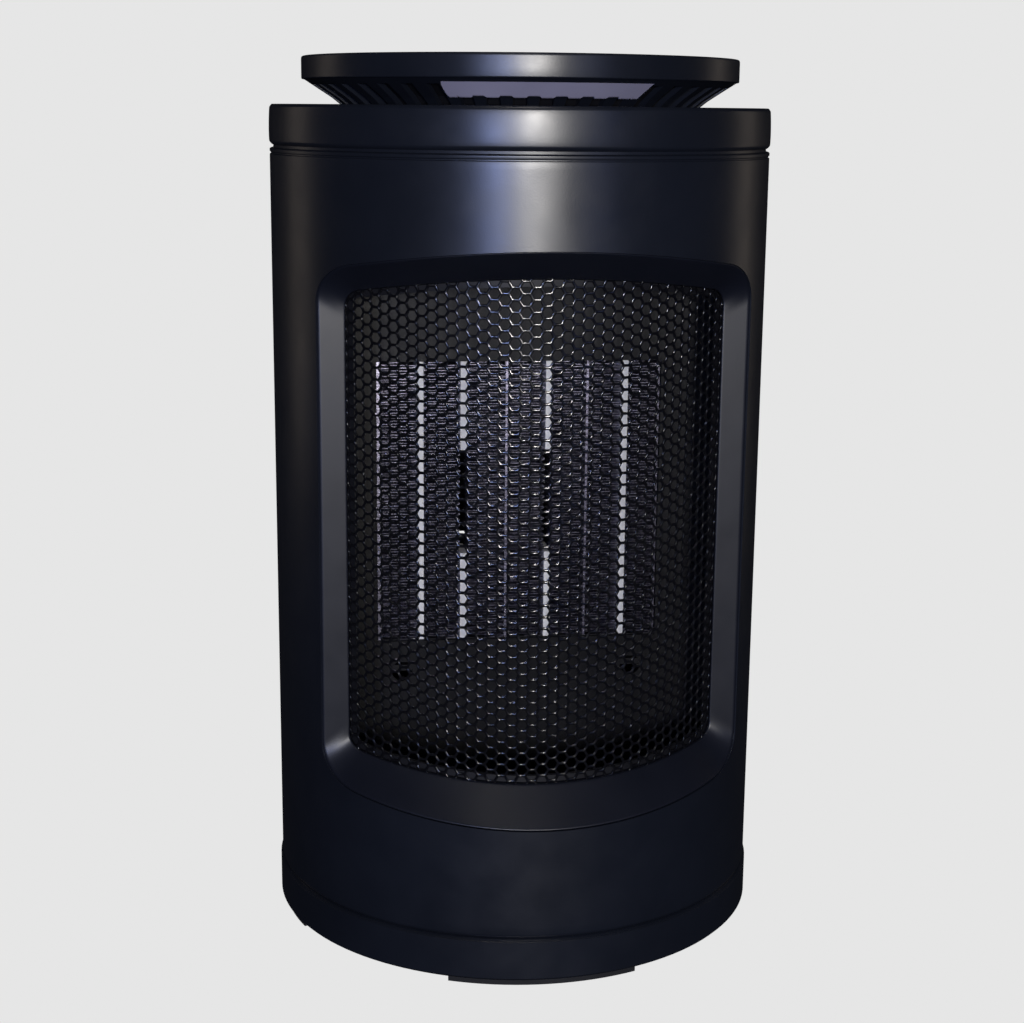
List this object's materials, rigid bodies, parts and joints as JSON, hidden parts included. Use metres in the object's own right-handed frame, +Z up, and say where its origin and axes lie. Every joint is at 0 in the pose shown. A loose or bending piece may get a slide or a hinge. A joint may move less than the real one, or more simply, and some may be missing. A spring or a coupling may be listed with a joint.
{
  "type": "ceramic space heater",
  "caption": "Upright cylindrical ceramic fan heater with a bowed honeycomb front window, a slotted flared ring under a floating top disc, and a round base",
  "frame": {"origin": "centre of the footprint on the floor plane, on the casing's axis", "axes": "+Z up, front window faces -Y, +X to the right when looking at the front"},
  "size_m": [0.1612, 0.1612, 0.2812],
  "materials": {
    "casing": "satin, fine grain",
    "bezel": "satin, fine grain",
    "mesh": "black semi-gloss paint",
    "inner_black": "moulded black",
    "duct": "black heat-resistant paint",
    "foot_rubber": "matt rubber",
    "screw_steel": "zinc plated",
    "bracket_steel": "pressed galvanised sheet",
    "board": "green solder mask",
    "electric": "moulded off-white",
    "heater_ceramic": "fired, matt",
    "fin_aluminium": "mill finish",
    "element_cap": "heat-resistant moulding",
    "core_steel": "stacked laminations",
    "bush_bronze": "sintered bronze",
    "fan_plastic": "moulded",
    "label": "printed film, blank",
    "panel": "polished inlay",
    "button": "polished",
    "lens": "clear light guide"
  },
  "bodies": {
    "housing": {"base_cover": "casing", "rubber_feet": "foot_rubber", "base_screws": "screw_steel", "tip_switch_bracket": "bracket_steel", "tip_switch": "inner_black", "tip_spring": "screw_steel", "power_board": "board", "relay": "inner_black", "capacitor": "electric", "terminal_block": "electric", "main_shell": "casing", "front_bezel": "bezel", "front_mesh": "mesh", "mesh_retainer": "inner_black", "duct_plate": "duct", "ceramic_bar_1": "heater_ceramic", "ceramic_bar_4": "heater_ceramic", "ceramic_bar_2": "heater_ceramic", "ceramic_bar_3": "heater_ceramic", "electrode_strips": "fin_aluminium", "element_side_rails": "fin_aluminium", "fin_strips": "fin_aluminium", "element_cap_bottom": "element_cap", "element_cap_top": "element_cap", "element_terminals": "fin_aluminium", "thermal_cutout": "fin_aluminium", "thermal_fuse": "electric", "fan_shroud": "inner_black", "motor_bracket": "bracket_steel", "motor_end_cap": "bracket_steel", "motor_can": "bracket_steel", "motor_bush_front": "bush_bronze", "motor_bush_rear": "bush_bronze", "motor_stator": "core_steel", "rear_grille": "casing", "cord_gland": "inner_black", "gland_nut": "inner_black", "top_collar": "casing", "intake_cone": "casing", "intake_filter": "inner_black", "cone_label": "label", "top_disc": "casing", "control_panel": "panel", "mode_spring": "screw_steel", "power_spring": "screw_steel", "timer_spring": "screw_steel", "indicator_lenses": "lens", "tact_switches": "electric", "control_board": "board", "board_screws": "screw_steel"},
    "power_key": {"power_button": "button"},
    "mode_key": {"mode_button": "button"},
    "timer_key": {"timer_button": "button"},
    "fan": {"fan_impeller": "fan_plastic", "motor_shaft": "screw_steel", "motor_rotor": "core_steel", "fan_nut": "screw_steel"},
    "tip_foot": {"tip_plunger": "inner_black"}
  },
  "joints": [
    {"name": "power_press", "type": "slide", "parent": "housing", "child": "power_key", "axis": [0, 0, -1], "range_m": [0, 0.0012], "stiffness_N_per_m": 800, "springref_m": -0.001, "deforming": ["power_spring"]},
    {"name": "mode_press", "type": "slide", "parent": "housing", "child": "mode_key", "axis": [0, 0, -1], "range_m": [0, 0.0012], "stiffness_N_per_m": 800, "springref_m": -0.001, "deforming": ["mode_spring"]},
    {"name": "timer_press", "type": "slide", "parent": "housing", "child": "timer_key", "axis": [0, 0, -1], "range_m": [0, 0.0012], "stiffness_N_per_m": 800, "springref_m": -0.001, "deforming": ["timer_spring"]},
    {"name": "fan_spin", "type": "hinge", "parent": "housing", "child": "fan", "pos_m": [0, 0.027, 0.1377], "axis": [0, 1, 0], "continuous": true},
    {"name": "tip_foot_slide", "type": "slide", "parent": "housing", "child": "tip_foot", "axis": [0, 0, -1], "range_m": [0, 0.004], "stiffness_N_per_m": 150, "springref_m": 0.006, "deforming": ["tip_spring"]}
  ]
}
